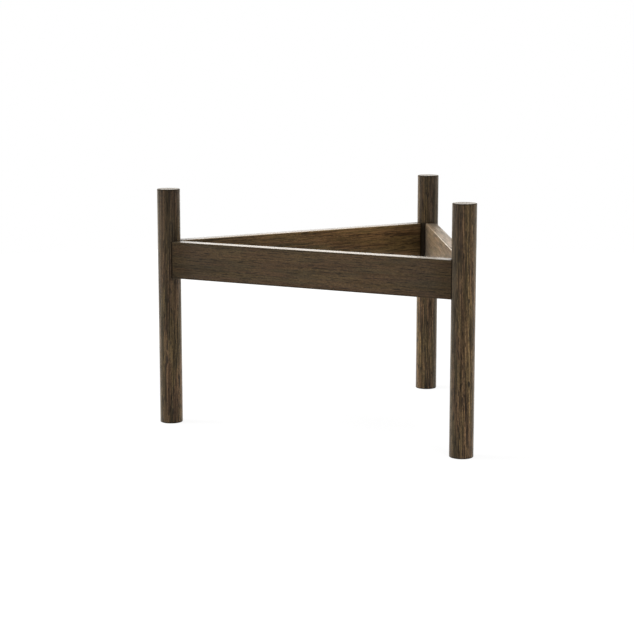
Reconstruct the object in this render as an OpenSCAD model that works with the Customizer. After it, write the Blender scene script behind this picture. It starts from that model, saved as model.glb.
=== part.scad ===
// Low stand for one plant pot: three round posts stand at the corners of an
// equilateral triangle, and three flat rails on edge join them in pairs.
// The pot stands on the upper edges of the rails, between the tops of the posts.
// Millimetres, +Z up. The origin is on the floor, on the upright axis about which
// the stand repeats every third of a turn. The front rail runs along X and faces -Y.

/* [Frame] */
// Distance between the axes of neighbouring posts
post_spacing = 350; // [280:5:450]
// Clear height under the rails
leg_clear = 163; // [90:1:400]
// How far the posts stand up past the rails
post_rise = 57; // [20:1:120]

/* [Posts] */
// Diameter of a post
post_d = 25; // [22:0.5:36]
// Radius of the eased edge round each end of a post
post_arris = 0.8; // [0.3:0.1:3]

/* [Rails] */
// Height of a rail's section
rail_h = 40; // [34:1:70]
// Thickness of a rail
rail_t = 13; // [10:0.5:15]
// How far a rail's outer face lies in from the outermost line of the posts
rail_setback = 3.25; // [2:0.25:5]
// Radius of the eased edges along a rail
rail_arris = 0.8; // [0.3:0.1:3]

/* [Joints] */
// Glue line between the hollowed end of a rail and the post that it fits
glue_gap = 0.2; // [0.1:0.05:0.4]
// Diameter of a dowel
dowel_d = 6; // [5:0.5:7]
// Length of a dowel
dowel_l = 30; // [24:1:40]
// Length of a dowel that is held in the post
dowel_in_post = 14; // [10:1:18]
// Space all round between a dowel and its bore
dowel_gap = 0.1; // [0.05:0.01:0.2]
// Space left past each end of a dowel in its blind bore
dowel_end_gap = 0.8; // [0.4:0.1:2]
// Wood left between the bores of neighbouring dowels in a post
dowel_web = 1.8; // [1:0.1:3]
// Chamfer at each end of a dowel
dowel_chamfer = 0.8; // [0.4:0.1:1.5]
// Number of glue flutes along a dowel
flute_count = 8; // [4:1:12]
// Radius of a glue flute
flute_r = 0.4; // [0.2:0.05:0.6]

/* [Hidden] */
$fn = 72;

post_r = post_d / 2;
post_h = leg_clear + rail_h + post_rise;
rail_mid_h = leg_clear + rail_h / 2;

// Distance from the middle of the stand to a post's axis and to the line
// that joins the axes of two posts
corner_r = post_spacing / sqrt(3);
side_r = corner_r / 2;

// A rail's middle plane, measured outwards from the line of its two posts' axes
rail_mid = post_r - rail_setback - rail_t / 2;

// Where the line of a dowel comes out of the round post, and where its inner end
// lies, both measured along the rail from the post's axis
dowel_mouth = sqrt(post_r * post_r - rail_mid * rail_mid);
dowel_start = dowel_mouth - dowel_in_post;

dowel_bore_r = dowel_d / 2 + dowel_gap;
dowel_bore_l = dowel_l + 2 * dowel_end_gap;

// Two rails meet in each post, so their dowels pass each other at four levels.
// A rail's first end holds the lowest level and the next but one, and its far end
// holds the other two.
dowel_step = 2 * dowel_bore_r + dowel_web;
first_end_levels = [-1.5, 0.5];
far_end_levels = [-0.5, 1.5];
function level_h(level) = rail_mid_h + level * dowel_step;

// How far a cut runs past the face that it opens
past = 1;

// Sides of the triangle, counted by thirds of a turn from the front
third_turn = 120;
front_side = 0;
right_side = 1;
left_side = 2;

post_wood = [0.24, 0.19, 0.15];
rail_wood = [0.27, 0.21, 0.16];
dowel_wood = [0.80, 0.64, 0.45];

// ---- Places ----

// Turns a side's own frame into the stand's: in it the side's first post stands
// at the origin, its rail runs along +X to the far post, and -Y is outwards.
module on_side(side) {
    rotate([0, 0, third_turn * side])
        translate([-post_spacing / 2, -side_r, 0])
            children();
}

// Puts what lies along +X at the first post of a side at a dowel's place.
module at_first_end(level) {
    translate([dowel_start, -rail_mid, level_h(level)])
        rotate([0, 90, 0])
            children();
}

// The same at the far post, where it lies back along -X.
module at_far_end(level) {
    translate([post_spacing - dowel_start, -rail_mid, level_h(level)])
        rotate([0, -90, 0])
            children();
}

// ---- Shapes that repeat ----

// Rectangle with its four corners rounded, centred on the origin
module eased_rectangle(w, h, r) {
    square([w, h - 2 * r], center = true);
    square([w - 2 * r, h], center = true);
    for (x = [-1, 1], y = [-1, 1])
        translate([x * (w / 2 - r), y * (h / 2 - r)])
            circle(r = r);
}

// Half of a post's upright section, on the +X side of its axis
module post_half_section() {
    intersection() {
        translate([0, post_h / 2])
            eased_rectangle(post_d, post_h, post_arris);
        square([post_d, post_h]);
    }
}

// Fluted dowel with chamfered ends, standing on its lower end
module dowel() {
    r = dowel_d / 2;
    difference() {
        rotate_extrude()
            polygon([
                [0, 0],
                [r - dowel_chamfer, 0],
                [r, dowel_chamfer],
                [r, dowel_l - dowel_chamfer],
                [r - dowel_chamfer, dowel_l],
                [0, dowel_l]
            ]);
        for (i = [0 : flute_count - 1])
            rotate([0, 0, 360 / flute_count * (i + 0.5)])
                translate([r, 0, -past])
                    cylinder(r = flute_r, h = dowel_l + 2 * past);
    }
}

// Blind bore for a dowel, in the dowel's own frame
module dowel_bore() {
    translate([0, 0, -dowel_end_gap])
        cylinder(r = dowel_bore_r, h = dowel_bore_l);
}

// ---- Pieces, each in the frame of a side ----

// Post with the bores of the rail that starts at it and of the rail that ends at it
module post() {
    difference() {
        rotate_extrude()
            post_half_section();
        for (level = first_end_levels)
            at_first_end(level)
                dowel_bore();
        // The rail that ends here comes in from the side before
        rotate([0, 0, -third_turn])
            translate([-post_spacing, 0, 0])
                for (level = far_end_levels)
                    at_far_end(level)
                        dowel_bore();
    }
}

// Rail whose ends are hollowed to fit round the posts
module rail() {
    difference() {
        translate([0, -rail_mid, rail_mid_h])
            rotate([90, 0, 90])
                linear_extrude(post_spacing)
                    eased_rectangle(rail_t, rail_h, rail_arris);
        for (x = [0, post_spacing])
            translate([x, 0, 0])
                cylinder(r = post_r + glue_gap, h = post_h);
        for (level = first_end_levels)
            at_first_end(level)
                dowel_bore();
        for (level = far_end_levels)
            at_far_end(level)
                dowel_bore();
    }
}

module first_end_dowel(side, level) {
    color(dowel_wood)
        on_side(side)
            at_first_end(level)
                dowel();
}

module far_end_dowel(side, level) {
    color(dowel_wood)
        on_side(side)
            at_far_end(level)
                dowel();
}

// ---- Posts: each stands at the first end of one side ----

module left_post() {
    color(post_wood)
        on_side(front_side)
            post();
}

module right_post() {
    color(post_wood)
        on_side(right_side)
            post();
}

module back_post() {
    color(post_wood)
        on_side(left_side)
            post();
}

// ---- Rails ----

module front_rail() {
    color(rail_wood)
        on_side(front_side)
            rail();
}

module right_rail() {
    color(rail_wood)
        on_side(right_side)
            rail();
}

module left_rail() {
    color(rail_wood)
        on_side(left_side)
            rail();
}

// ---- Dowels: two in each joint of a rail and a post ----

module front_rail_left_lower_dowel() { first_end_dowel(front_side, first_end_levels[0]); }
module front_rail_left_upper_dowel() { first_end_dowel(front_side, first_end_levels[1]); }
module front_rail_right_lower_dowel() { far_end_dowel(front_side, far_end_levels[0]); }
module front_rail_right_upper_dowel() { far_end_dowel(front_side, far_end_levels[1]); }

module right_rail_front_lower_dowel() { first_end_dowel(right_side, first_end_levels[0]); }
module right_rail_front_upper_dowel() { first_end_dowel(right_side, first_end_levels[1]); }
module right_rail_back_lower_dowel() { far_end_dowel(right_side, far_end_levels[0]); }
module right_rail_back_upper_dowel() { far_end_dowel(right_side, far_end_levels[1]); }

module left_rail_back_lower_dowel() { first_end_dowel(left_side, first_end_levels[0]); }
module left_rail_back_upper_dowel() { first_end_dowel(left_side, first_end_levels[1]); }
module left_rail_front_lower_dowel() { far_end_dowel(left_side, far_end_levels[0]); }
module left_rail_front_upper_dowel() { far_end_dowel(left_side, far_end_levels[1]); }

left_post();
right_post();
back_post();
front_rail();
right_rail();
left_rail();
front_rail_left_lower_dowel();
front_rail_left_upper_dowel();
front_rail_right_lower_dowel();
front_rail_right_upper_dowel();
right_rail_front_lower_dowel();
right_rail_front_upper_dowel();
right_rail_back_lower_dowel();
right_rail_back_upper_dowel();
left_rail_back_lower_dowel();
left_rail_back_upper_dowel();
left_rail_front_lower_dowel();
left_rail_front_upper_dowel();
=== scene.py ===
# %% [markdown]
# # A stand for one plant pot, in dark stained wood
# Three round posts stand at the corners of a triangle and three flat rails join them.
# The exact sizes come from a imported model, the frame. This lesson builds the visible wood
# around it: each step says what a piece is on the real stand, how it could be made in
# Blender, and why this way was chosen. Lengths are in metres, +Z is up.

# %% Load the frame
import math

import bmesh
import bpy
from mathutils import Matrix, Vector


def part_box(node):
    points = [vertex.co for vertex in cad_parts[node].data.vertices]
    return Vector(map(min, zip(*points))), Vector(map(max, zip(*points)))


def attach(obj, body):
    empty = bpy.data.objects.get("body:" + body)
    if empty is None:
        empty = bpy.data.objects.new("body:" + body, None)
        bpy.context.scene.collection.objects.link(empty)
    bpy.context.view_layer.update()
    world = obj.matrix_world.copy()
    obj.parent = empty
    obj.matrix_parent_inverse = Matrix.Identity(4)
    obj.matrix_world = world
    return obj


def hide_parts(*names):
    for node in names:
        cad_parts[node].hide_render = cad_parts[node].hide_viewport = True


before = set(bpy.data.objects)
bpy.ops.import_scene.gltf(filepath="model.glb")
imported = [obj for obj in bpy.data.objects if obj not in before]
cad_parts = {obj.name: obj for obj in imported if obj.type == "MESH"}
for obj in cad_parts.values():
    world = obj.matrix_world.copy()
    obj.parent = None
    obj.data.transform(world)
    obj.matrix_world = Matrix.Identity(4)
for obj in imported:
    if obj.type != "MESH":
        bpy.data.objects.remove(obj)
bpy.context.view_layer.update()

# %% [markdown]
# ## Sizes from the frame
# A post's box gives its diameter and its height. The front rail runs along X, so its box
# gives its height, its thickness and how far its faces lie from the line of the posts.
# Reading them here, and not writing them again, keeps every piece on its place.

# %% Read the sizes
MM = 0.001
THIRD_TURN = math.radians(120)

post_low, post_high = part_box("left_post")
post_axis = (post_low + post_high) / 2
post_height = post_high.z - post_low.z
post_radius = (post_high.x - post_low.x) / 2

rail_low, rail_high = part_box("front_rail")
rail_height = rail_high.z - rail_low.z
rail_thickness = rail_high.y - rail_low.y
rail_middle = (rail_low + rail_high) / 2
post_spacing = 2 * abs(post_axis.x)
# How far the rail's middle plane lies outside the line of the post axes
rail_offset = post_axis.y - rail_middle.y

print("post: radius", round(post_radius / MM, 2), "mm, height", round(post_height / MM, 1), "mm")
print("rail:", round(rail_thickness / MM, 2), "x", round(rail_height / MM, 1), "mm")

# %% [markdown]
# ## Camera
# The picture was taken from a little above and to the right, from almost two metres away
# with a long lens, so the uprights stay nearly parallel. The camera is placed by its
# bearing, its height angle and its distance from the point that it looks at.

# %% Add the camera
AZIMUTH = math.radians(27.72)
ELEVATION = math.radians(9.33)
DISTANCE = 1.912
LOOKED_AT = Vector((-0.0447, 0.0, 0.1132))
# Both in millimetres, as on a real camera
LENS = 96.64
SENSOR_WIDTH = 36

towards_camera = Vector((
    math.sin(AZIMUTH) * math.cos(ELEVATION),
    -math.cos(AZIMUTH) * math.cos(ELEVATION),
    math.sin(ELEVATION),
))
bpy.ops.object.camera_add(
    location=LOOKED_AT + DISTANCE * towards_camera,
    rotation=(math.pi / 2 - ELEVATION, 0, AZIMUTH),
)
camera = bpy.context.object
camera.name = "camera"
camera.data.lens = LENS
camera.data.sensor_width = SENSOR_WIDTH
bpy.context.scene.camera = camera
bpy.context.scene.view_settings.view_transform = "Standard"
print("camera at", [round(v, 3) for v in camera.location])

# %% [markdown]
# ## Helpers for modelling
# Everything below is done with the operators that a person would use: deselect, add a
# primitive, go into edit mode, choose some edges or faces, shape them. Code has no mouse,
# so edges and faces are chosen by a test on their place or their normal.

# %% Define the selecting helpers
TINY = 0.01 * MM


def deselect():
    """Leaves nothing selected, so that an operator acts only on what comes next."""
    bpy.ops.object.select_all(action="DESELECT")


def take(piece):
    """Selects one piece alone and makes it the active one."""
    deselect()
    piece.select_set(True)
    bpy.context.view_layer.objects.active = piece


def choose(piece, kind, test):
    """In edit mode, selects the edges or faces that pass a test and nothing else."""
    bpy.ops.mesh.select_mode(type="EDGE" if kind == "edges" else "FACE")
    bpy.ops.mesh.select_all(action="DESELECT")
    mesh = bmesh.from_edit_mesh(piece.data)
    chosen = [part for part in getattr(mesh, kind) if test(part)]
    for part in chosen:
        part.select_set(True)
    bmesh.update_edit_mesh(piece.data)
    return len(chosen)


print("selecting helpers ready")

# %% [markdown]
# Three jobs come back for every piece. Its place is moved from the object into the mesh,
# hollows and bores are cut out of it, and at the end its shading is set: the round faces
# smooth and the flat ones flat, with a sharp line wherever the surface turns by more than
# the crease angle.

# %% Define the shaping helpers
CREASE_ANGLE = math.radians(40)


def settle(piece):
    """Puts the object at the origin, unturned and unscaled, with its place in its mesh."""
    take(piece)
    bpy.ops.object.transform_apply(location=True, rotation=True, scale=True)


def cut(piece, cutter):
    """Takes the cutter's shape out of the piece, as a saw or a drill would."""
    take(piece)
    bpy.ops.object.modifier_add(type="BOOLEAN")
    modifier = piece.modifiers[-1]
    modifier.operation = "DIFFERENCE"
    modifier.solver = "EXACT"
    modifier.object = cutter
    bpy.ops.object.modifier_apply(modifier=modifier.name)
    bpy.data.objects.remove(cutter)


def soften_shading(piece):
    """Shades round faces smooth and keeps flat ones flat."""
    take(piece)
    bpy.ops.object.shade_smooth_by_angle(angle=CREASE_ANGLE)
    bpy.ops.object.modifier_add(type="WEIGHTED_NORMAL")
    modifier = piece.modifiers[-1]
    modifier.keep_sharp = True
    bpy.ops.object.modifier_apply(modifier=modifier.name)


print("shaping helpers ready")

# %% [markdown]
# ## Dowel bores
# Each joint is held by two short dowels, hidden in blind bores. The dowels themselves are
# good as they are in the frame. The new posts and rails need the same bores round them, so
# that the stand can be taken apart here as on a bench. A drill is a cylinder laid along the
# dowel, a hair wider and longer. The drills for one side of the triangle are turned by a
# third of a turn for the others.

# %% Make the drills
BORE_CLEARANCE = 0.1 * MM
BORE_END_SPACE = 0.8 * MM
DRILL_FACETS = 48


def drill_along(dowel, turns):
    """Cylinder in the place of one front dowel, turned round the stand by thirds."""
    low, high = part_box(dowel)
    deselect()
    bpy.ops.mesh.primitive_cylinder_add(
        vertices=DRILL_FACETS,
        radius=(high.z - low.z) / 2 + BORE_CLEARANCE,
        depth=high.x - low.x + 2 * BORE_END_SPACE,
        location=(low + high) / 2,
        rotation=(0, math.pi / 2, 0),
    )
    drill = bpy.context.object
    settle(drill)
    drill.data.transform(Matrix.Rotation(turns * THIRD_TURN, 4, "Z"))
    return drill


LEFT_DOWELS = ["front_rail_left_lower_dowel", "front_rail_left_upper_dowel"]
RIGHT_DOWELS = ["front_rail_right_lower_dowel", "front_rail_right_upper_dowel"]
print("drills for", len(LEFT_DOWELS + RIGHT_DOWELS), "dowels a side")

# %% [markdown]
# ## A post
# On the real stand a post is a length of round bar, sawn square and sanded, with its two
# rims eased by hand. It could be a curve with a bevel, but a cylinder primitive gives clean
# straight strips. Its rims are bevelled, a narrow ring is inset on each end to hold the
# shading of the flat, and rings are cut along its length so that no strip is a long sliver.

# %% Model one post
POST_FACETS = 96
RIM_EASE = 0.9 * MM
RIM_SEGMENTS = 4
END_RING = 0.3 * MM
POST_RINGS = 51

deselect()
bpy.ops.mesh.primitive_cylinder_add(
    vertices=POST_FACETS, radius=post_radius, depth=post_height, location=post_axis
)
left_post = bpy.context.object
left_post.name = "left_post_wood"
settle(left_post)

bpy.ops.object.mode_set(mode="EDIT")
rims = choose(left_post, "edges", lambda e: abs(e.verts[0].co.z - e.verts[1].co.z) < TINY)
bpy.ops.mesh.bevel(offset=RIM_EASE, segments=RIM_SEGMENTS, affect="EDGES")
choose(left_post, "faces", lambda f: len(f.verts) == POST_FACETS)
bpy.ops.mesh.inset(thickness=END_RING)
choose(left_post, "edges", lambda e: e.calc_length() > post_height / 2)
bpy.ops.mesh.subdivide(number_cuts=POST_RINGS)
bpy.ops.object.mode_set(mode="OBJECT")
print("post:", rims, "rim edges eased")

# %% [markdown]
# Two rails meet in this post, so it has two pairs of bores. The front rail starts here. The
# other rail ends here, and it is the front rail turned back by a third.

# %% Drill the post
for dowel in LEFT_DOWELS:
    cut(left_post, drill_along(dowel, 0))
for dowel in RIGHT_DOWELS:
    cut(left_post, drill_along(dowel, -1))
soften_shading(left_post)
print("post:", len(left_post.data.polygons), "faces")

# %% [markdown]
# ## A rail
# A rail is a flat board on edge. Its ends are hollowed with a hole saw so that they sit
# round the posts, and its corners are rounded over with a block. A cube primitive gives the
# board, and two large cylinders cut the hollows.

# %% Model one rail
JOINT_GAP = 0.45 * MM
HOLLOW_FACETS = 128

deselect()
bpy.ops.mesh.primitive_cube_add(
    size=1,
    location=rail_middle,
    scale=(post_spacing, rail_thickness, rail_height),
)
front_rail = bpy.context.object
front_rail.name = "front_rail_wood"
settle(front_rail)

for side in (-1, 1):
    deselect()
    bpy.ops.mesh.primitive_cylinder_add(
        vertices=HOLLOW_FACETS,
        radius=post_radius + JOINT_GAP,
        depth=post_height,
        location=(side * post_spacing / 2, post_axis.y, post_axis.z),
    )
    hollow = bpy.context.object
    settle(hollow)
    cut(front_rail, hollow)
print("rail: hollowed at both ends")

# %% [markdown]
# A bevel then eases all the edges at once, the hollowed ones too, which would be hard to
# pick by hand. The small groove that this leaves at the joint reads as a dark line. The
# long faces are cut across, for the same reason as on the post, and the bores come last.

# %% Ease and drill the rail
EDGE_EASE = 0.8 * MM
EDGE_SEGMENTS = 3
RAIL_CUTS = 59

take(front_rail)
bpy.ops.object.modifier_add(type="BEVEL")
ease = front_rail.modifiers[-1]
ease.width = EDGE_EASE
ease.segments = EDGE_SEGMENTS
ease.limit_method = "ANGLE"
ease.angle_limit = CREASE_ANGLE
bpy.ops.object.modifier_apply(modifier=ease.name)

bpy.ops.object.mode_set(mode="EDIT")
choose(front_rail, "edges", lambda e: e.calc_length() > post_spacing / 2)
bpy.ops.mesh.subdivide(number_cuts=RAIL_CUTS)
bpy.ops.object.mode_set(mode="OBJECT")

for dowel in LEFT_DOWELS + RIGHT_DOWELS:
    cut(front_rail, drill_along(dowel, 0))
soften_shading(front_rail)
print("rail:", len(front_rail.data.polygons), "faces")

# %% [markdown]
# ## The other posts and rails
# The stand repeats every third of a turn. Each finished piece is duplicated with a mesh of
# its own and turned about the middle of the stand. Without a window the rotate operator
# turns the other way round, so the angle is given with its sign changed.

# %% Copy and turn


def turned_copy(piece, name, turns):
    """Copy of a piece, with its own mesh, turned round the stand by thirds."""
    take(piece)
    bpy.ops.object.duplicate(linked=False)
    copy = bpy.context.object
    copy.name = name
    bpy.ops.transform.rotate(
        value=-turns * THIRD_TURN, orient_axis="Z", center_override=(0, 0, 0)
    )
    settle(copy)
    return copy


right_post = turned_copy(left_post, "right_post_wood", 1)
back_post = turned_copy(left_post, "back_post_wood", 2)
right_rail = turned_copy(front_rail, "right_rail_wood", 1)
left_rail = turned_copy(front_rail, "left_rail_wood", 2)
print("copied", [o.name for o in (right_post, back_post, right_rail, left_rail)])

# %% [markdown]
# ## Where each piece was cut from the log
# Wood is a solid: its rings and pores run through a board and come out at its ends. So the
# finish needs to know, for each point, where it lay in the tree. Two vector attributes hold
# that. "place" is the point measured in the piece's own directions, along the grain first.
# "log" is the same, moved and tipped a little, as each piece came from another part of a
# tree and never runs quite true to its grain.

# %% Define how places are stored


def store_places(piece, middle, along, across, shift, tilt):
    """Writes "place" and "log" on a piece, from its own directions and its cut."""
    own = Matrix((along, across, along.cross(across)))
    swing, dip = (math.radians(angle) for angle in tilt)
    tip = Matrix.Rotation(swing, 3, "Z") @ Matrix.Rotation(dip, 3, "Y")
    place = piece.data.attributes.new("place", "FLOAT_VECTOR", "POINT")
    log = piece.data.attributes.new("log", "FLOAT_VECTOR", "POINT")
    for vertex in piece.data.vertices:
        local = own @ (vertex.co - middle)
        place.data[vertex.index].vector = local
        log.data[vertex.index].vector = tip @ local + shift * MM


print("attributes: place, log")

# %% [markdown]
# Each piece now gets its own cut. The front rail comes from well inside the heartwood,
# where the grain is quiet and even. The posts and the other rails lie near the bark, so
# that some golden sapwood shows on one side of them.

# %% Store the places
UP = Vector((0, 0, 1))
ALONG_FRONT = Vector((1, 0, 0))
# For each piece: thirds of a turn, place in the log in mm (along, and two ways from the
# heart), and how it is tipped in the log in degrees
POST_PLACES = {
    left_post: (0, Vector((130, 82, 6)), (-1.2, -0.8)),
    right_post: (1, Vector((510, -82.5, -10)), (-0.6, 1.5)),
    back_post: (2, Vector((900, 24, -84)), (0.9, -1.1)),
}
RAIL_PLACES = {
    front_rail: (0, Vector((1400, 55, 12)), (0.5, -0.4)),
    right_rail: (1, Vector((1900, 20, -92)), (-0.8, -1.6)),
    left_rail: (2, Vector((2400, 5, -86)), (0.7, -1.2)),
}

for post, (turns, shift, tilt) in POST_PLACES.items():
    turn = Matrix.Rotation(turns * THIRD_TURN, 3, "Z")
    axis = turn @ post_axis
    inwards = Vector((-axis.x, -axis.y, 0)).normalized()
    store_places(post, axis, UP, inwards, shift, tilt)

# A rail's places are measured from the line of the post axes, at its middle height
rail_start = Vector((0, post_axis.y, rail_middle.z))
for rail, (turns, shift, tilt) in RAIL_PLACES.items():
    turn = Matrix.Rotation(turns * THIRD_TURN, 3, "Z")
    store_places(rail, turn @ rail_start, turn @ ALONG_FRONT, UP, shift, tilt)
print("places stored on", len(POST_PLACES) + len(RAIL_PLACES), "pieces")

# %% [markdown]
# ## Helpers for materials
# A finish is a tree of small nodes. These helpers add a node, join it up and give back its
# output, so that a line of code reads like a line of arithmetic.

# %% Define the node helpers


def plug(tree, value, socket):
    """Feeds a socket from another node's output, or sets it to a plain value."""
    if isinstance(value, bpy.types.NodeSocket):
        tree.links.new(value, socket)
    else:
        socket.default_value = value


def add(tree, kind, inputs, output=0, **settings):
    """Adds a node with its settings and inputs and gives back one of its outputs."""
    node = tree.nodes.new("ShaderNode" + kind)
    for name, value in settings.items():
        setattr(node, name, value)
    for key, value in inputs.items():
        plug(tree, value, node.inputs[key])
    return node.outputs[output]


def calc(tree, operation, *values):
    """One step of arithmetic."""
    return add(tree, "Math", dict(enumerate(values)), operation=operation)


def vector_calc(tree, operation, *values, output=0):
    """One step of arithmetic on vectors."""
    return add(tree, "VectorMath", dict(enumerate(values)), output, operation=operation)


def length(tree, vector):
    """Length of a vector."""
    return vector_calc(tree, "LENGTH", vector, output="Value")


def split(tree, vector):
    """The three parts of a vector."""
    node = tree.nodes.new("ShaderNodeSeparateXYZ")
    plug(tree, vector, node.inputs["Vector"])
    return node.outputs


print("node helpers ready")

# %% [markdown]
# Masks are what these trees are made of: values that are 1 where something shows and 0
# where it doesn't. A fade draws one from a distance or a noise, and the others join them.

# %% Define the mask helpers


def fade(tree, value, start, end, low=0.0, high=1.0):
    """Goes smoothly from low to high as the value goes from start to end."""
    inputs = {"Value": value, "From Min": start, "From Max": end, "To Min": low, "To Max": high}
    return add(tree, "MapRange", inputs, interpolation_type="SMOOTHSTEP")


def outside(tree, mask):
    """1 where the mask is 0, and 0 where it is 1."""
    return calc(tree, "SUBTRACT", 1.0, mask)


def joined(tree, operation, values):
    """Puts several values together by one operation, two at a time."""
    result = values[0]
    for value in values[1:]:
        result = calc(tree, operation, result, value)
    return result


def largest(tree, *values):
    """The largest of several values: shows where any of the masks shows."""
    return joined(tree, "MAXIMUM", values)


def product(tree, *values):
    """The product of several values: shows where all of the masks show."""
    return joined(tree, "MULTIPLY", values)


print("mask helpers ready")

# %% [markdown]
# Noise gives each mark of the wood its size along the grain and across it. A Mix node has
# sockets for numbers, vectors and colours under the same names, so the ones for colours
# are reached by their place in the list.

# %% Define the noise and colour helpers
MIX_FIRST_COLOUR = 6
MIX_SECOND_COLOUR = 7
MIX_COLOUR_OUT = 2


def noise(tree, vector, along, across, detail=2.0, roughness=0.5):
    """Noise whose features have a size in metres along the grain and across it."""
    per_metre = (1 / along, 1 / across, 1 / across)
    scaled = vector_calc(tree, "MULTIPLY", vector, per_metre)
    inputs = {"Vector": scaled, "Scale": 1.0, "Detail": detail, "Roughness": roughness}
    return add(tree, "TexNoise", inputs)


def mix_colour(tree, amount, first, second, blend="MIX"):
    """Mixes two colours by an amount."""
    node = tree.nodes.new("ShaderNodeMix")
    node.data_type = "RGBA"
    node.blend_type = blend
    plug(tree, amount, node.inputs["Factor"])
    plug(tree, first, node.inputs[MIX_FIRST_COLOUR])
    plug(tree, second, node.inputs[MIX_SECOND_COLOUR])
    return node.outputs[MIX_COLOUR_OUT]


print("noise and colour helpers ready")

# %% [markdown]
# An effect that several materials share goes into a node group. It is built once, with
# named inputs and outputs, and each material then uses it with values of its own.

# %% Define the group helpers


def new_group(name, inputs, outputs):
    """Starts a shader node group with named sockets. Returns it with its two ends."""
    tree = bpy.data.node_groups.new(name, "ShaderNodeTree")
    for socket_name, (kind, value) in inputs.items():
        socket = tree.interface.new_socket(
            name=socket_name, in_out="INPUT", socket_type="NodeSocket" + kind
        )
        if value is not None:
            socket.default_value = value
    for socket_name, kind in outputs.items():
        tree.interface.new_socket(
            name=socket_name, in_out="OUTPUT", socket_type="NodeSocket" + kind
        )
    start = tree.nodes.new("NodeGroupInput")
    end = tree.nodes.new("NodeGroupOutput")
    return tree, start.outputs, end.inputs


def use_group(tree, group, inputs):
    """Places a group in a material and gives back its outputs."""
    node = tree.nodes.new("ShaderNodeGroup")
    node.node_tree = group
    for key, value in inputs.items():
        plug(tree, value, node.inputs[key])
    return node.outputs


print("group helpers ready")

# %% [markdown]
# ## Figure of the wood
# The wood is a ring-porous hardwood. In the log the year rings lie round the heart. Each
# ring starts with a row of open pores, thin tubes a few millimetres long, and ends in
# dense late wood. Towards the bark lies the paler sapwood. This group makes all of that
# from a place in the log, at real sizes, so the faces, the edges and the end grain of a
# piece agree. Each part of the figure comes out as a mask from 0 to 1. The rings come
# first: their distance from the heart wanders, as no tree is quite round.

# %% Group: figure, its rings and sapwood
RING_WIDTH = 2.8 * MM
RING_WANDER = 10 * MM
WANDER_ALONG = 160 * MM
WANDER_ACROSS = 30 * MM
SAPWOOD_START = 88 * MM
SAPWOOD_FULL = 99 * MM
# Shares of a ring's width, from its inner side
LATE_WOOD_START = 0.3
EARLY_WOOD_END = 0.5
FIGURE_MASKS = (
    "Late Wood", "Sapwood", "Streaks", "Dashes", "Bands", "Warmth", "Lines", "Flecks", "Pores"
)

figure, given, made = new_group(
    "wood figure", {"Log": ("Vector", None)}, {name: "Float" for name in FIGURE_MASKS}
)
log = given["Log"]
wander = noise(figure, log, WANDER_ALONG, WANDER_ACROSS, detail=3.0)
bend = product(figure, calc(figure, "SUBTRACT", wander, 0.5), RING_WANDER)
section = vector_calc(figure, "MULTIPLY", log, (0, 1, 1))
radius = calc(figure, "ADD", length(figure, section), bend)
ring_share = calc(figure, "FRACT", calc(figure, "DIVIDE", radius, RING_WIDTH))
plug(figure, fade(figure, ring_share, LATE_WOOD_START, 1.0), made["Late Wood"])
plug(figure, fade(figure, radius, SAPWOOD_START, SAPWOOD_FULL), made["Sapwood"])
print("group:", figure.name, "with", len(FIGURE_MASKS), "masks")

# %% [markdown]
# Over the rings lie the marks that the stain brings out. Broad bands and warmer zones run
# for the length of a finger or two, streaks are as long but fine, flecks are short, and the
# finest dashes are only two millimetres long. All are noise drawn out along the grain, so
# a loop makes them from their sizes.

# %% Group: figure, its streaks, bands and flecks
# For each mark: size in mm along and across the grain, detail and roughness of the noise,
# and the values of the noise at which the mark starts to show and shows fully
GRAIN_MARKS = {
    "Streaks": (60, 1.1, 3.0, 0.5, 0.40, 0.62),
    "Dashes": (2.2, 0.7, 2.0, 0.6, 0.38, 0.62),
    "Bands": (90, 5, 2.0, 0.5, 0.38, 0.62),
    "Warmth": (60, 6, 1.0, 0.5, 0.38, 0.62),
    "Flecks": (11, 1.5, 1.0, 0.5, 0.60, 0.68),
}
for name, (along, across, detail, roughness, start, full) in GRAIN_MARKS.items():
    spots = noise(figure, log, along * MM, across * MM, detail, roughness)
    plug(figure, fade(figure, spots, start, full), made[name])
print("marks:", list(GRAIN_MARKS))

# %% [markdown]
# Two marks are thin and sharp. Dark lines follow the grain where a slow noise crosses its
# middle value, like the lines of equal height on a map. Pores are long narrow cells, and
# they are wider in the early wood of each ring.

# %% Group: figure, its lines and pores
LINE_ALONG = 170 * MM
LINE_ACROSS = 2.6 * MM
LINE_EDGES = (0.03, 0.01)
PORE_LENGTH = 14 * MM
PORE_SPACING = 1.1 * MM
# Reach of a pore from its middle, as a share of the spacing, and how soft its edge is
PORE_REACH = 0.14
EARLY_PORE_REACH = 0.22
PORE_EDGE = 0.12

courses = noise(figure, log, LINE_ALONG, LINE_ACROSS, detail=1.0)
off_line = calc(figure, "ABSOLUTE", calc(figure, "SUBTRACT", courses, 0.5))
plug(figure, fade(figure, off_line, *LINE_EDGES), made["Lines"])

early = fade(figure, ring_share, EARLY_WOOD_END, 0.0)
pore_cells = vector_calc(figure, "DIVIDE", log, (PORE_LENGTH, PORE_SPACING, PORE_SPACING))
to_pore = add(figure, "TexVoronoi", {"Vector": pore_cells, "Scale": 1.0}, "Distance")
reach = calc(figure, "MULTIPLY_ADD", early, EARLY_PORE_REACH, PORE_REACH)
plug(figure, fade(figure, calc(figure, "SUBTRACT", to_pore, reach), PORE_EDGE, 0.0), made["Pores"])
print("group:", figure.name, len(figure.nodes), "nodes")
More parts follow.
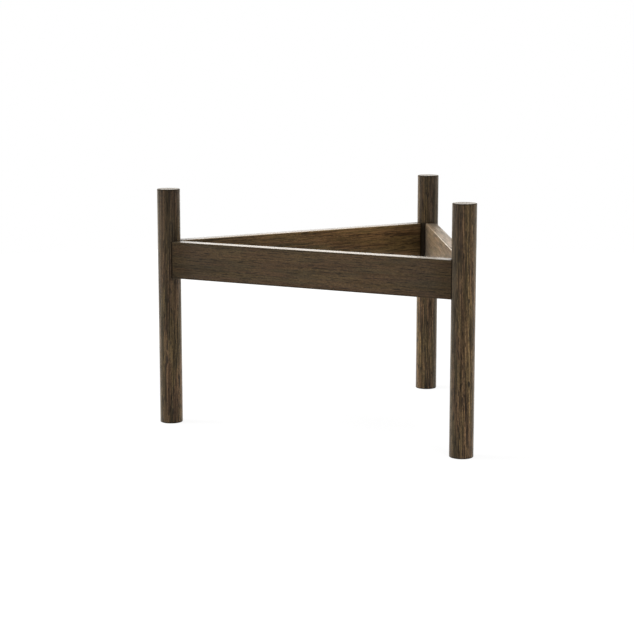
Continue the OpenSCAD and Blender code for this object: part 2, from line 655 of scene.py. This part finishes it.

# %% [markdown]
# ## Where stain gathered and wore, and where shade and highlights are painted
# A dark stain is wiped on and off with a rag. A group for each kind of piece works out
# from its "place" where the rag and years of use left their marks, and where shade and
# highlights are painted into the colour, as three masks: where stain gathered or shade is
# painted, where it wore off or a highlight is painted, and where the coat is so thin that
# the wood looks dry. A rail has four long arrises. The inner upper one is made pale, partly
# by wear from the pot and partly by a painted highlight along it, and the others are
# rubbed only a little. The rest of the top is lightened by a painted highlight, by a
# different amount on each rail.

# %% Group: marks on a rail, where it is rubbed and where a highlight is painted
PIECE_MARKS = ("Stain And Shade", "Worn And Highlit", "Dry")
MARK_OUTPUTS = {name: "Float" for name in PIECE_MARKS}
# Width over which the marks change from one half of a rail's section to the other
HALF_CHANGE = 2 * MM
# How far every arris is rubbed, and how much paler the one at the pot is made,
# by wear and by a painted highlight along it
RUBBED = 0.15
WORN_AND_HIGHLIT_AT_POT = 0.85

rail_marks, given, made = new_group(
    "marks on a rail", {"Place": ("Vector", None), "Painted Top Highlight": ("Float", 0.0)}, MARK_OUTPUTS
)
tree = rail_marks
along, up, outwards = split(tree, given["Place"])
from_edge = calc(tree, "SUBTRACT", rail_height / 2, calc(tree, "ABSOLUTE", up))
off_middle = calc(tree, "ABSOLUTE", calc(tree, "SUBTRACT", outwards, rail_offset))
from_face = calc(tree, "SUBTRACT", rail_thickness / 2, off_middle)
# On each long face the larger of the two is the way to the nearest arris
to_arris = largest(tree, from_edge, from_face)

inner_side = fade(tree, outwards, rail_offset, rail_offset - HALF_CHANGE)
upper_half = fade(tree, up, 0, HALF_CHANGE)
at_pot = product(tree, inner_side, upper_half)
on_arris = fade(tree, to_arris, 1.4 * EDGE_EASE, 0.6 * EDGE_EASE)
# The arris at the pot is made pale: wear, and a painted highlight along it
rubbed_and_highlit = product(tree, on_arris, calc(tree, "MULTIPLY_ADD", at_pot, WORN_AND_HIGHLIT_AT_POT, RUBBED))
top_edge = rail_height / 2
on_top = fade(tree, up, top_edge - 0.5 * EDGE_EASE, top_edge - 0.1 * EDGE_EASE)
# Painted highlight on the top face, as much as each rail asks for
rubbed_and_highlit = largest(tree, rubbed_and_highlit, product(tree, on_top, given["Painted Top Highlight"]))
print("rail: rubbed marks")

# %% [markdown]
# Stain stays in a thin line beside each arris. The lower arrises are darker: partly stain
# that ran down, partly painted shade, as they face the floor. Stain stays thick in the
# joints at both ends. On the inner face the dark joint line is wider, and that extra width
# is painted shade in the corner. Shade is also painted towards each end for a hand's width,
# and darker still on the top near the post, but for less. Close to the posts the lacquer
# is thin.

# %% Group: marks on a rail, where stain gathered and where shade is painted
JOINT_LINE = 1.2 * MM
JOINT_REACH = 5 * MM
END_REACH = 90 * MM
TOP_END_REACH = 40 * MM
THIN_COAT_REACH = 30 * MM
# How much of the stain's colour or of the coat each mark takes, from 0 to 1
IN_JOINT_AND_CORNER = 0.95
BY_JOINT = 0.35
RAIL_END_SHADE = 0.38
RAIL_TOP_END_SHADE = 0.6
BESIDE_ARRIS = 0.6
LOWER_ARRIS_STAIN_AND_SHADE = 0.85
THIN_COAT = 0.6

arris_stain_and_lower_shade = fade(tree, to_arris, 2.4 * EDGE_EASE, EDGE_EASE, 0, BESIDE_ARRIS)
lower_half = fade(tree, up, 0, -HALF_CHANGE)
# Painted shade on the lower arrises, which face down, with some stain that ran down
lower_arris_stain_and_shade = fade(tree, to_arris, 1.6 * EDGE_EASE, 0.6 * EDGE_EASE, 0, LOWER_ARRIS_STAIN_AND_SHADE)
arris_stain_and_lower_shade = largest(tree, arris_stain_and_lower_shade, product(tree, lower_arris_stain_and_shade, lower_half))
arris_stain_and_lower_shade = product(tree, arris_stain_and_lower_shade, outside(tree, rubbed_and_highlit), outside(tree, on_top))

from_end = calc(tree, "SUBTRACT", post_spacing / 2, calc(tree, "ABSOLUTE", along))
from_axis = add(tree, "CombineXYZ", {"X": from_end, "Y": outwards, "Z": 0.0})
to_post = calc(tree, "SUBTRACT", length(tree, from_axis), post_radius)
inside = fade(tree, outwards, rail_offset, rail_offset - rail_thickness / 2)
# On the inner face the joint line is wider: the extra width is painted shade in the corner
joint_line = calc(tree, "MULTIPLY_ADD", inside, 1.8 * JOINT_LINE, 1.5 * JOINT_LINE)
joint_and_corner_shade = fade(tree, to_post, joint_line, 0.5 * JOINT_LINE, 0, IN_JOINT_AND_CORNER)
by_joint = fade(tree, to_post, JOINT_REACH, 0, 0, BY_JOINT)
# Painted shade towards each end, near the posts
painted_end_shade = fade(tree, to_post, END_REACH, 0, 0, RAIL_END_SHADE)
# Painted shade on the top near each post
painted_top_end_shade = product(tree, on_top, fade(tree, to_post, TOP_END_REACH, 0, 0, RAIL_TOP_END_SHADE))
thin_coat = fade(tree, to_post, THIN_COAT_REACH, 0, 0, THIN_COAT)

stain_and_shade = largest(tree, joint_and_corner_shade, by_joint, painted_end_shade, painted_top_end_shade, arris_stain_and_lower_shade)
plug(tree, stain_and_shade, made["Stain And Shade"])
plug(tree, product(tree, rubbed_and_highlit, outside(tree, joint_and_corner_shade)), made["Worn And Highlit"])
plug(tree, largest(tree, joint_and_corner_shade, arris_stain_and_lower_shade, thin_coat), made["Dry"])
print("group:", tree.name, len(tree.nodes), "nodes")

# %% [markdown]
# A post has a rim at each end, which the stain leaves darker. Shade is painted on it as
# well: a little near the foot, and over most of the length towards the top, which is less
# lit. The sawn ends drink the lacquer, so they shine less than the sides.

# %% Group: marks on a post, its ends
RIM_LINE = 2.2 * MM
TOP_REACH = 180 * MM
FOOT_REACH = 60 * MM
AT_RIM = 0.85
POST_TOP_SHADE = 0.5
POST_FOOT_SHADE = 0.15
ON_SAWN_END = 0.35

post_marks, given, made = new_group("marks on a post", {"Place": ("Vector", None)}, MARK_OUTPUTS)
tree = post_marks
along, inwards, sideways = split(tree, given["Place"])
from_ends = calc(tree, "SUBTRACT", post_height / 2, calc(tree, "ABSOLUTE", along))
flat = vector_calc(tree, "MULTIPLY", given["Place"], (0, 1, 1))
from_side = calc(tree, "SUBTRACT", post_radius, length(tree, flat))
to_rim = largest(tree, from_ends, from_side)
at_rim = fade(tree, to_rim, RIM_LINE, 0.3 * RIM_LINE, 0, AT_RIM)
from_top = calc(tree, "SUBTRACT", post_height / 2, along)
# Painted shade, darker towards the top
painted_shade_at_top = fade(tree, from_top, TOP_REACH, 0, 0, POST_TOP_SHADE)
from_foot = calc(tree, "ADD", along, post_height / 2)
# Painted shade near the foot
painted_shade_at_foot = fade(tree, from_foot, FOOT_REACH, 0, 0, POST_FOOT_SHADE)
on_end = fade(tree, from_ends, 0.4 * MM, 0.1 * MM, 0, ON_SAWN_END)
print("post: marks at the ends")

# %% [markdown]
# Two rails leave a post at half the corner's 60 degrees on either side of the line to the
# middle of the stand. Measured from that line both sides are alike, so one of them is
# worked out and mirrored with an absolute value. The distance to the rail's end is made of
# three parts: off its faces, above or below it, and behind it.

# %% Group: marks on a post, its joints
HALF_CORNER = math.radians(30)
BY_RAIL = 0.4
rail_level = rail_middle.z - post_axis.z

aside = calc(tree, "ABSOLUTE", sideways)
off_axis = calc(tree, "MULTIPLY", aside, math.cos(HALF_CORNER))
off_axis = calc(tree, "MULTIPLY_ADD", inwards, -math.sin(HALF_CORNER), off_axis)
ahead = calc(tree, "MULTIPLY", aside, math.sin(HALF_CORNER))
ahead = calc(tree, "MULTIPLY_ADD", inwards, math.cos(HALF_CORNER), ahead)
off_faces = calc(tree, "ABSOLUTE", calc(tree, "SUBTRACT", off_axis, rail_offset))
off_faces = largest(tree, calc(tree, "SUBTRACT", off_faces, rail_thickness / 2), 0)
off_level = calc(tree, "ABSOLUTE", calc(tree, "SUBTRACT", along, rail_level))
off_level = largest(tree, calc(tree, "SUBTRACT", off_level, rail_height / 2), 0)
behind = largest(tree, calc(tree, "MULTIPLY", ahead, -1), 0)
away = add(tree, "CombineXYZ", {"X": off_faces, "Y": off_level, "Z": behind})
to_rail = length(tree, away)
under_rail = fade(tree, to_rail, 0.5 * JOINT_LINE, 0, 0, IN_JOINT_AND_CORNER)
by_joint = fade(tree, to_rail, JOINT_REACH, 0, 0, BY_RAIL)

# Painted shade on the strip of post between the two rails, deep in the corner
painted_shade_between_rails = fade(tree, aside, 0.4 * post_radius, 0.2 * post_radius, 0, IN_JOINT_AND_CORNER)
facing_in = fade(tree, inwards, 0, MM)
beside_rails = fade(tree, off_level, 2 * MM, 0)
# The joint line under the rail, and the painted shade between the rails
joint_and_corner_shade = largest(tree, under_rail, product(tree, painted_shade_between_rails, facing_in, beside_rails))

plug(tree, largest(tree, joint_and_corner_shade, by_joint, at_rim, painted_shade_at_top, painted_shade_at_foot), made["Stain And Shade"])
plug(tree, 0.0, made["Worn And Highlit"])
plug(tree, largest(tree, joint_and_corner_shade, at_rim, on_end), made["Dry"])
print("group:", tree.name, len(tree.nodes), "nodes")

# %% [markdown]
# ## The stain
# Seen close, the stain is not one brown: it is nearly black in the pores, dark olive or
# russet in the bands, tan in the streaks and golden where the sapwood took less. The group
# lays these colours over each other by the figure's masks. Three depths let each material
# set how strongly the streaks, the fine dashes and the greenish and rosy tints show.

# %% Group: stain, its tones
OLIVE = (0.040, 0.029, 0.011, 1)
RUSSET = (0.056, 0.027, 0.010, 1)
UMBER = (0.108, 0.067, 0.027, 1)
TAN = (0.195, 0.122, 0.057, 1)
GOLD = (0.415, 0.255, 0.118, 1)
NEAR_BLACK = (0.012, 0.0075, 0.0035, 1)
DEPTHS = ("Streak Depth", "Dash Depth", "Tint Depth")

stain, given, made = new_group(
    "dark stain",
    {name: ("Float", 0.0) for name in (*FIGURE_MASKS, *PIECE_MARKS, *DEPTHS)},
    {"Colour": "Color", "Shine": "Float"},
)
streak_depth, dash_depth, tint_depth = (given[name] for name in DEPTHS)
dark_streaks = outside(stain, given["Streaks"])
dark_dashes = outside(stain, given["Dashes"])


def layer(tone, colour, amount, mask, depth):
    """Lays a colour over the tone where the mask shows, weakened to an amount."""
    return mix_colour(stain, product(stain, mask, amount, depth), tone, colour)


tone = mix_colour(stain, given["Warmth"], OLIVE, RUSSET)
tone = mix_colour(stain, given["Bands"], tone, UMBER)
tone = layer(tone, TAN, 0.2, given["Late Wood"], streak_depth)
tone = layer(tone, TAN, 0.5, given["Streaks"], streak_depth)
uneven = calc(stain, "MULTIPLY_ADD", given["Streaks"], 0.6, 0.4)
tone = layer(tone, GOLD, 0.85, given["Sapwood"], uneven)
tone = layer(tone, NEAR_BLACK, 0.5, dark_streaks, streak_depth)
tone = layer(tone, NEAR_BLACK, 0.45, dark_dashes, dash_depth)
tone = layer(tone, NEAR_BLACK, 0.8, given["Lines"], streak_depth)
tone = layer(tone, NEAR_BLACK, 0.8, given["Flecks"], streak_depth)
tone = layer(tone, NEAR_BLACK, 0.8, given["Pores"], dash_depth)
print("stain: tones laid over each other")

# %% [markdown]
# A faint tint makes some zones greener and others redder. At last the stain is lightened
# to bare wood where it wore and where a highlight is painted, and darkened where it
# gathered and where shade is painted. The lacquer shines less over hollow grain, and not at
# all where a mark says that the coat is dry.

# %% Group: stain, its marks and its shine
GREENISH = (0.95, 1.01, 0.86, 1)
ROSY = (1.05, 0.97, 1.0, 1)
# Bare wood, which is also the colour of the painted highlights
BARE_AND_HIGHLIGHT = (0.46, 0.345, 0.22, 1)
STREAKS_DULL = 0.45
DASHES_DULL = 0.2
HOLLOWS_DULL = 0.3
LEAST_SHINE = 0.1

tint = mix_colour(stain, given["Warmth"], GREENISH, ROSY)
tone = mix_colour(stain, tint_depth, tone, tint, "MULTIPLY")
tone = mix_colour(stain, given["Worn And Highlit"], tone, BARE_AND_HIGHLIGHT)
plug(stain, mix_colour(stain, given["Stain And Shade"], tone, NEAR_BLACK), made["Colour"])

hollows = largest(stain, given["Lines"], given["Flecks"], given["Pores"])
dull = product(stain, dark_streaks, STREAKS_DULL, streak_depth)
dull = calc(stain, "ADD", dull, product(stain, dark_dashes, DASHES_DULL, dash_depth))
dull = calc(stain, "ADD", dull, product(stain, hollows, HOLLOWS_DULL, dash_depth))
shine = largest(stain, outside(stain, dull), LEAST_SHINE)
plug(stain, product(stain, shine, outside(stain, given["Dry"])), made["Shine"])
print("group:", stain.name, len(stain.nodes), "nodes")

# %% [markdown]
# ## Relief and roughness of the wood
# Pores are small hollows and streaks stand out a little, so they feed the bump as well as
# the colour. Modelling them would take millions of faces, and at this size nobody would
# see the difference. Open pores and pale bands are rougher than the rest. Where the pot
# rubs an arris it also polishes it, so bare wood is smoother.

# %% Define the relief and the roughness
WOOD_ROUGHNESS = 0.45
ROUGHER_IN_BANDS = 0.1
ROUGHER_IN_PORES = 0.15
SMOOTHER_WHERE_WORN = -0.42
# Relief of the grain: its depth, how strongly it shades, and the height of dashes and
# pores beside the streaks, whose height is 1
GRAIN_DEPTH = 0.15 * MM
GRAIN_STRENGTH = 0.8
DASH_HEIGHT = 0.5
PORE_HEIGHT = -0.8


def roughness_of(tree, masks, worn_and_highlit):
    """Roughness of the stained wood under its coat."""
    rough = calc(tree, "MULTIPLY_ADD", masks["Bands"], ROUGHER_IN_BANDS, WOOD_ROUGHNESS)
    rough = calc(tree, "MULTIPLY_ADD", masks["Pores"], ROUGHER_IN_PORES, rough)
    return calc(tree, "MULTIPLY_ADD", worn_and_highlit, SMOOTHER_WHERE_WORN, rough)


def grain_relief(tree, masks):
    """Normal of a surface whose grain stands out and whose pores are hollow."""
    height = calc(tree, "MULTIPLY_ADD", masks["Dashes"], DASH_HEIGHT, masks["Streaks"])
    height = calc(tree, "MULTIPLY_ADD", masks["Pores"], PORE_HEIGHT, height)
    inputs = {"Strength": GRAIN_STRENGTH, "Distance": GRAIN_DEPTH, "Height": height}
    return add(tree, "Bump", inputs)


print("relief", round(GRAIN_DEPTH / MM, 2), "mm deep")

# %% [markdown]
# ## The stained wood
# The lacquer is a thin coat over the stain, almost invisible face on and pale where the
# surface is seen at a flat angle, as on the tops of the rails. A little sheen stands for
# the fine raised fibres that catch light all over. Numbers that are the same everywhere
# are set on the shader itself, and only what changes over the surface comes from nodes.

# %% Define the stained wood
WOOD_IOR = 1.45
WOOD_SPECULAR = 0.05
COAT_IOR = 1.34
COAT_TINT = (1.0, 0.94, 0.82, 1.0)
SHEEN_TINT = (1.0, 0.86, 0.66, 1.0)


def stained_wood(name, marks, own, depths, bands, sheen, coat_roughness):
    """Dark stained wood with a thin coat, for one kind of piece.

    own: values for the marks of the piece. depths: how strongly streaks, dashes and tints
    show. bands: least and most share of umber. sheen: its weight and its roughness.
    """
    material = bpy.data.materials.new(name)
    material.use_nodes = True
    tree = material.node_tree
    place = add(tree, "Attribute", {}, "Vector", attribute_name="place")
    log = add(tree, "Attribute", {}, "Vector", attribute_name="log")
    masks = use_group(tree, figure, {"Log": log})
    on_piece = use_group(tree, marks, {"Place": place, **own})
    fed = {output.name: output for output in (*masks, *on_piece)}
    fed["Bands"] = fade(tree, masks["Bands"], 0, 1, *bands)
    fed.update(zip(DEPTHS, depths))
    stained = use_group(tree, stain, fed)

    shader = tree.nodes["Principled BSDF"].inputs
    settings = {
        "Base Color": stained["Colour"],
        "Roughness": roughness_of(tree, masks, on_piece["Worn And Highlit"]),
        "Normal": grain_relief(tree, masks),
        "IOR": WOOD_IOR,
        "Specular IOR Level": WOOD_SPECULAR,
        "Coat Weight": stained["Shine"],
        "Coat Roughness": coat_roughness,
        "Coat IOR": COAT_IOR,
        "Coat Tint": COAT_TINT,
        "Sheen Weight": sheen[0],
        "Sheen Roughness": sheen[1],
        "Sheen Tint": SHEEN_TINT,
    }
    for socket, value in settings.items():
        plug(tree, value, shader[socket])
    return material


print("stained wood defined")

# %% [markdown]
# The finish is the same all over, but no two boards take it alike, so four materials share
# the groups. The front rail is the quietest, with fine dashes and few streaks. The right
# rail was rubbed down to a duller coat with more raised fibres. The left rail lies between
# these two, and the posts show the grain most.

# %% Build the wood materials
# Roughness of the coat
GLOSSY = 0.25
DULL = 0.45

front_rail_wood = stained_wood(
    "dark stained front rail",
    rail_marks,
    own={"Painted Top Highlight": 0.28},
    depths=(0.2, 1.1, 0.2),
    bands=(0.3, 0.7),
    sheen=(0.12, 0.25),
    coat_roughness=GLOSSY,
)
right_rail_wood = stained_wood(
    "dark stained right rail",
    rail_marks,
    own={"Painted Top Highlight": 0.05},
    depths=(1.0, 0.9, 0.5),
    bands=(0.1, 0.9),
    sheen=(0.35, 0.25),
    coat_roughness=DULL,
)
left_rail_wood = stained_wood(
    "dark stained left rail",
    rail_marks,
    own={"Painted Top Highlight": 0.05},
    depths=(0.5, 0.85, 0.5),
    bands=(0.1, 0.9),
    sheen=(0.12, 0.25),
    coat_roughness=GLOSSY,
)
post_wood = stained_wood(
    "dark stained post",
    post_marks,
    own={},
    depths=(1.1, 1.05, 0.8),
    bands=(0.28, 1.0),
    sheen=(0.3, 0.45),
    coat_roughness=GLOSSY,
)
print("materials:", [m.name for m in bpy.data.materials if m.name.startswith("dark stained")])

# %% [markdown]
# ## Dress the posts and the rails
# Each new piece takes its wood and stands for the piece of the frame whose place it has.
# Nothing on the stand moves, so all of them ride on its one body. The wood sits in the
# mesh's one material slot, where someone who uses the stand again can put another finish.

# %% Dress the posts and the rails
DRESSED = {
    left_post: ("left_post", post_wood),
    right_post: ("right_post", post_wood),
    back_post: ("back_post", post_wood),
    front_rail: ("front_rail", front_rail_wood),
    right_rail: ("right_rail", right_rail_wood),
    left_rail: ("left_rail", left_rail_wood),
}
for piece, (node, wood) in DRESSED.items():
    piece.data.materials.clear()
    piece.data.materials.append(wood)
    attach(piece, "root")
    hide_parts(node)
print("dressed", len(DRESSED), "pieces")

# %% [markdown]
# ## The dowels
# The dowels are plain beech, pale and fine, with short darker flecks. They keep their
# shape from the frame and only get a material. Its figure needs no log, as a dowel is only
# a few millimetres thick: long thin lines and tiny flecks along the grain are enough.

# %% Group: beech figure
BEECH = (0.60, 0.40, 0.23, 1)
BEECH_DARK = (0.42, 0.25, 0.13, 1)
BEECH_FLECK = (0.30, 0.16, 0.08, 1)
BEECH_FLECK_DEPTH = 0.7
BEECH_ROUGHNESS = (0.5, 0.62)

beech_figure, given, made = new_group(
    "beech figure", {"Along": ("Vector", None)}, {"Colour": "Color", "Roughness": "Float"}
)
lines = noise(beech_figure, given["Along"], 20 * MM, 0.6 * MM, detail=3.0)
flecks = noise(beech_figure, given["Along"], 1.6 * MM, 0.18 * MM, detail=1.0)
beech_tone = mix_colour(beech_figure, fade(beech_figure, lines, 0.35, 0.7), BEECH, BEECH_DARK)
in_fleck = fade(beech_figure, flecks, 0.62, 0.72, 0, BEECH_FLECK_DEPTH)
plug(beech_figure, mix_colour(beech_figure, in_fleck, beech_tone, BEECH_FLECK), made["Colour"])
plug(beech_figure, fade(beech_figure, lines, 0.3, 0.7, *BEECH_ROUGHNESS), made["Roughness"])
print("group:", beech_figure.name)

# %% [markdown]
# A dowel lies along its rail, so the figure is turned with a Mapping node to each rail's
# direction. That makes one beech for each side of the triangle.

# %% Build the beech and give it to the dowels
BEECH_RELIEF = 0.03 * MM
BEECH_RELIEF_STRENGTH = 0.4


def beech(name, turns):
    """Beech with its grain along one side of the triangle."""
    material = bpy.data.materials.new(name)
    material.use_nodes = True
    tree = material.node_tree
    where = add(tree, "TexCoord", {}, "Object")
    turned = add(tree, "Mapping", {"Vector": where, "Rotation": (0, 0, -turns * THIRD_TURN)})
    out = use_group(tree, beech_figure, {"Along": turned})
    relief = {
        "Strength": BEECH_RELIEF_STRENGTH,
        "Distance": BEECH_RELIEF,
        "Height": out["Roughness"],
    }
    shader = tree.nodes["Principled BSDF"].inputs
    plug(tree, out["Colour"], shader["Base Color"])
    plug(tree, out["Roughness"], shader["Roughness"])
    plug(tree, add(tree, "Bump", relief), shader["Normal"])
    return material


dowels = [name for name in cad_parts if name.endswith("_dowel")]
for turns, rail_name in enumerate(("front_rail", "right_rail", "left_rail")):
    finish = beech(rail_name + " beech", turns)
    for name in dowels:
        if name.startswith(rail_name):
            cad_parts[name].material_slots[0].material = finish
print("beech on", len(dowels), "dowels")

# %% [markdown]
# ## Floor and background
# The floor and the background are white in the picture. Their white is their own: what the
# camera and the reflections see is lifted to white, while the light that they throw on the
# stand stays that of plain pale surfaces. The floor keeps a faint shadow under the stand.

# %% Add the floor
FLOOR_RADIUS = 1.6
FLOOR_FACETS = 128
FLOOR_PAINT = (0.82, 0.82, 0.82, 1)
WHITE = (1, 1, 1, 1)
FLOOR_GLOW = 1.12
# How much of the painted floor still shows in the middle, and how far out it does
FLOOR_SHADOW = 0.25
SHADOW_REACH = 0.75

deselect()
bpy.ops.mesh.primitive_circle_add(vertices=FLOOR_FACETS, radius=FLOOR_RADIUS, fill_type="NGON")
floor = bpy.context.object
floor.name = "floor"


def seen_directly(tree):
    """1 for what the camera, reflections and glass see, and 0 for light on surfaces."""
    rays = tree.nodes.new("ShaderNodeLightPath").outputs
    kinds = ("Is Camera Ray", "Is Glossy Ray", "Is Transmission Ray")
    return largest(tree, *(rays[kind] for kind in kinds))


floor_paint = bpy.data.materials.new("pale floor")
floor_paint.use_nodes = True
tree = floor_paint.node_tree
tree.nodes.remove(tree.nodes["Principled BSDF"])
paint = add(tree, "BsdfDiffuse", {"Color": FLOOR_PAINT})
glow = add(tree, "Emission", {"Color": WHITE, "Strength": FLOOR_GLOW})
from_middle = length(tree, add(tree, "TexCoord", {}, "Object"))
own_white = fade(tree, from_middle, 0.3 * SHADOW_REACH, SHADOW_REACH, 1 - FLOOR_SHADOW, 1.0)
lift = product(tree, seen_directly(tree), own_white)
floor_out = add(tree, "MixShader", {0: lift, 1: paint, 2: glow})
plug(tree, floor_out, tree.nodes["Material Output"].inputs["Surface"])
floor.data.materials.append(floor_paint)
print("floor:", floor_paint.name)

# %% [markdown]
# The world works the same way. A strength of 1 is the white that the camera sees behind
# the stand, and surfaces are lit by a part of it.

# %% Add the world
AMBIENT = 0.5

world = bpy.data.worlds.new("white room")
world.use_nodes = True
bpy.context.scene.world = world
tree = world.node_tree
strength = fade(tree, seen_directly(tree), 0, 1, AMBIENT, 1.0)
plug(tree, strength, tree.nodes["Background"].inputs["Strength"])
plug(tree, WHITE, tree.nodes["Background"].inputs["Color"])
print("world:", world.name)

# %% [markdown]
# ## Lamps
# Three big soft lamps light the stand. The one in front on the left is the brightest, and
# one above on the right fills the other side. A weak one stands low behind on the left: it
# glances off the tops of the rails and draws the bright lines there. All are so large and
# near that no hard shadow forms.

# %% Add the lamps
# For each lamp: its place, the point that it aims at, its size in metres and its watts
LAMPS = {
    "left lamp": ((-1.9, -0.8, 1.4), (0, 0, 0.13), 1.4, 38.5),
    "right lamp": ((1.5, -0.9, 1.8), (0, 0, 0.13), 1.2, 19),
    "back lamp": ((-1.15, 1.9, 0.6), (0, 0, 0.2), 1.3, 6.5),
}

deselect()
for name, (place, aim, size, watts) in LAMPS.items():
    direction = (Vector(aim) - Vector(place)).normalized()
    bpy.ops.object.light_add(
        type="AREA", location=place, rotation=direction.to_track_quat("-Z", "Y").to_euler()
    )
    lamp = bpy.context.object
    lamp.name = name
    lamp.data.shape = "SQUARE"
    lamp.data.size = size
    lamp.data.energy = watts
    lamp.visible_camera = False
print("lamps:", list(LAMPS))
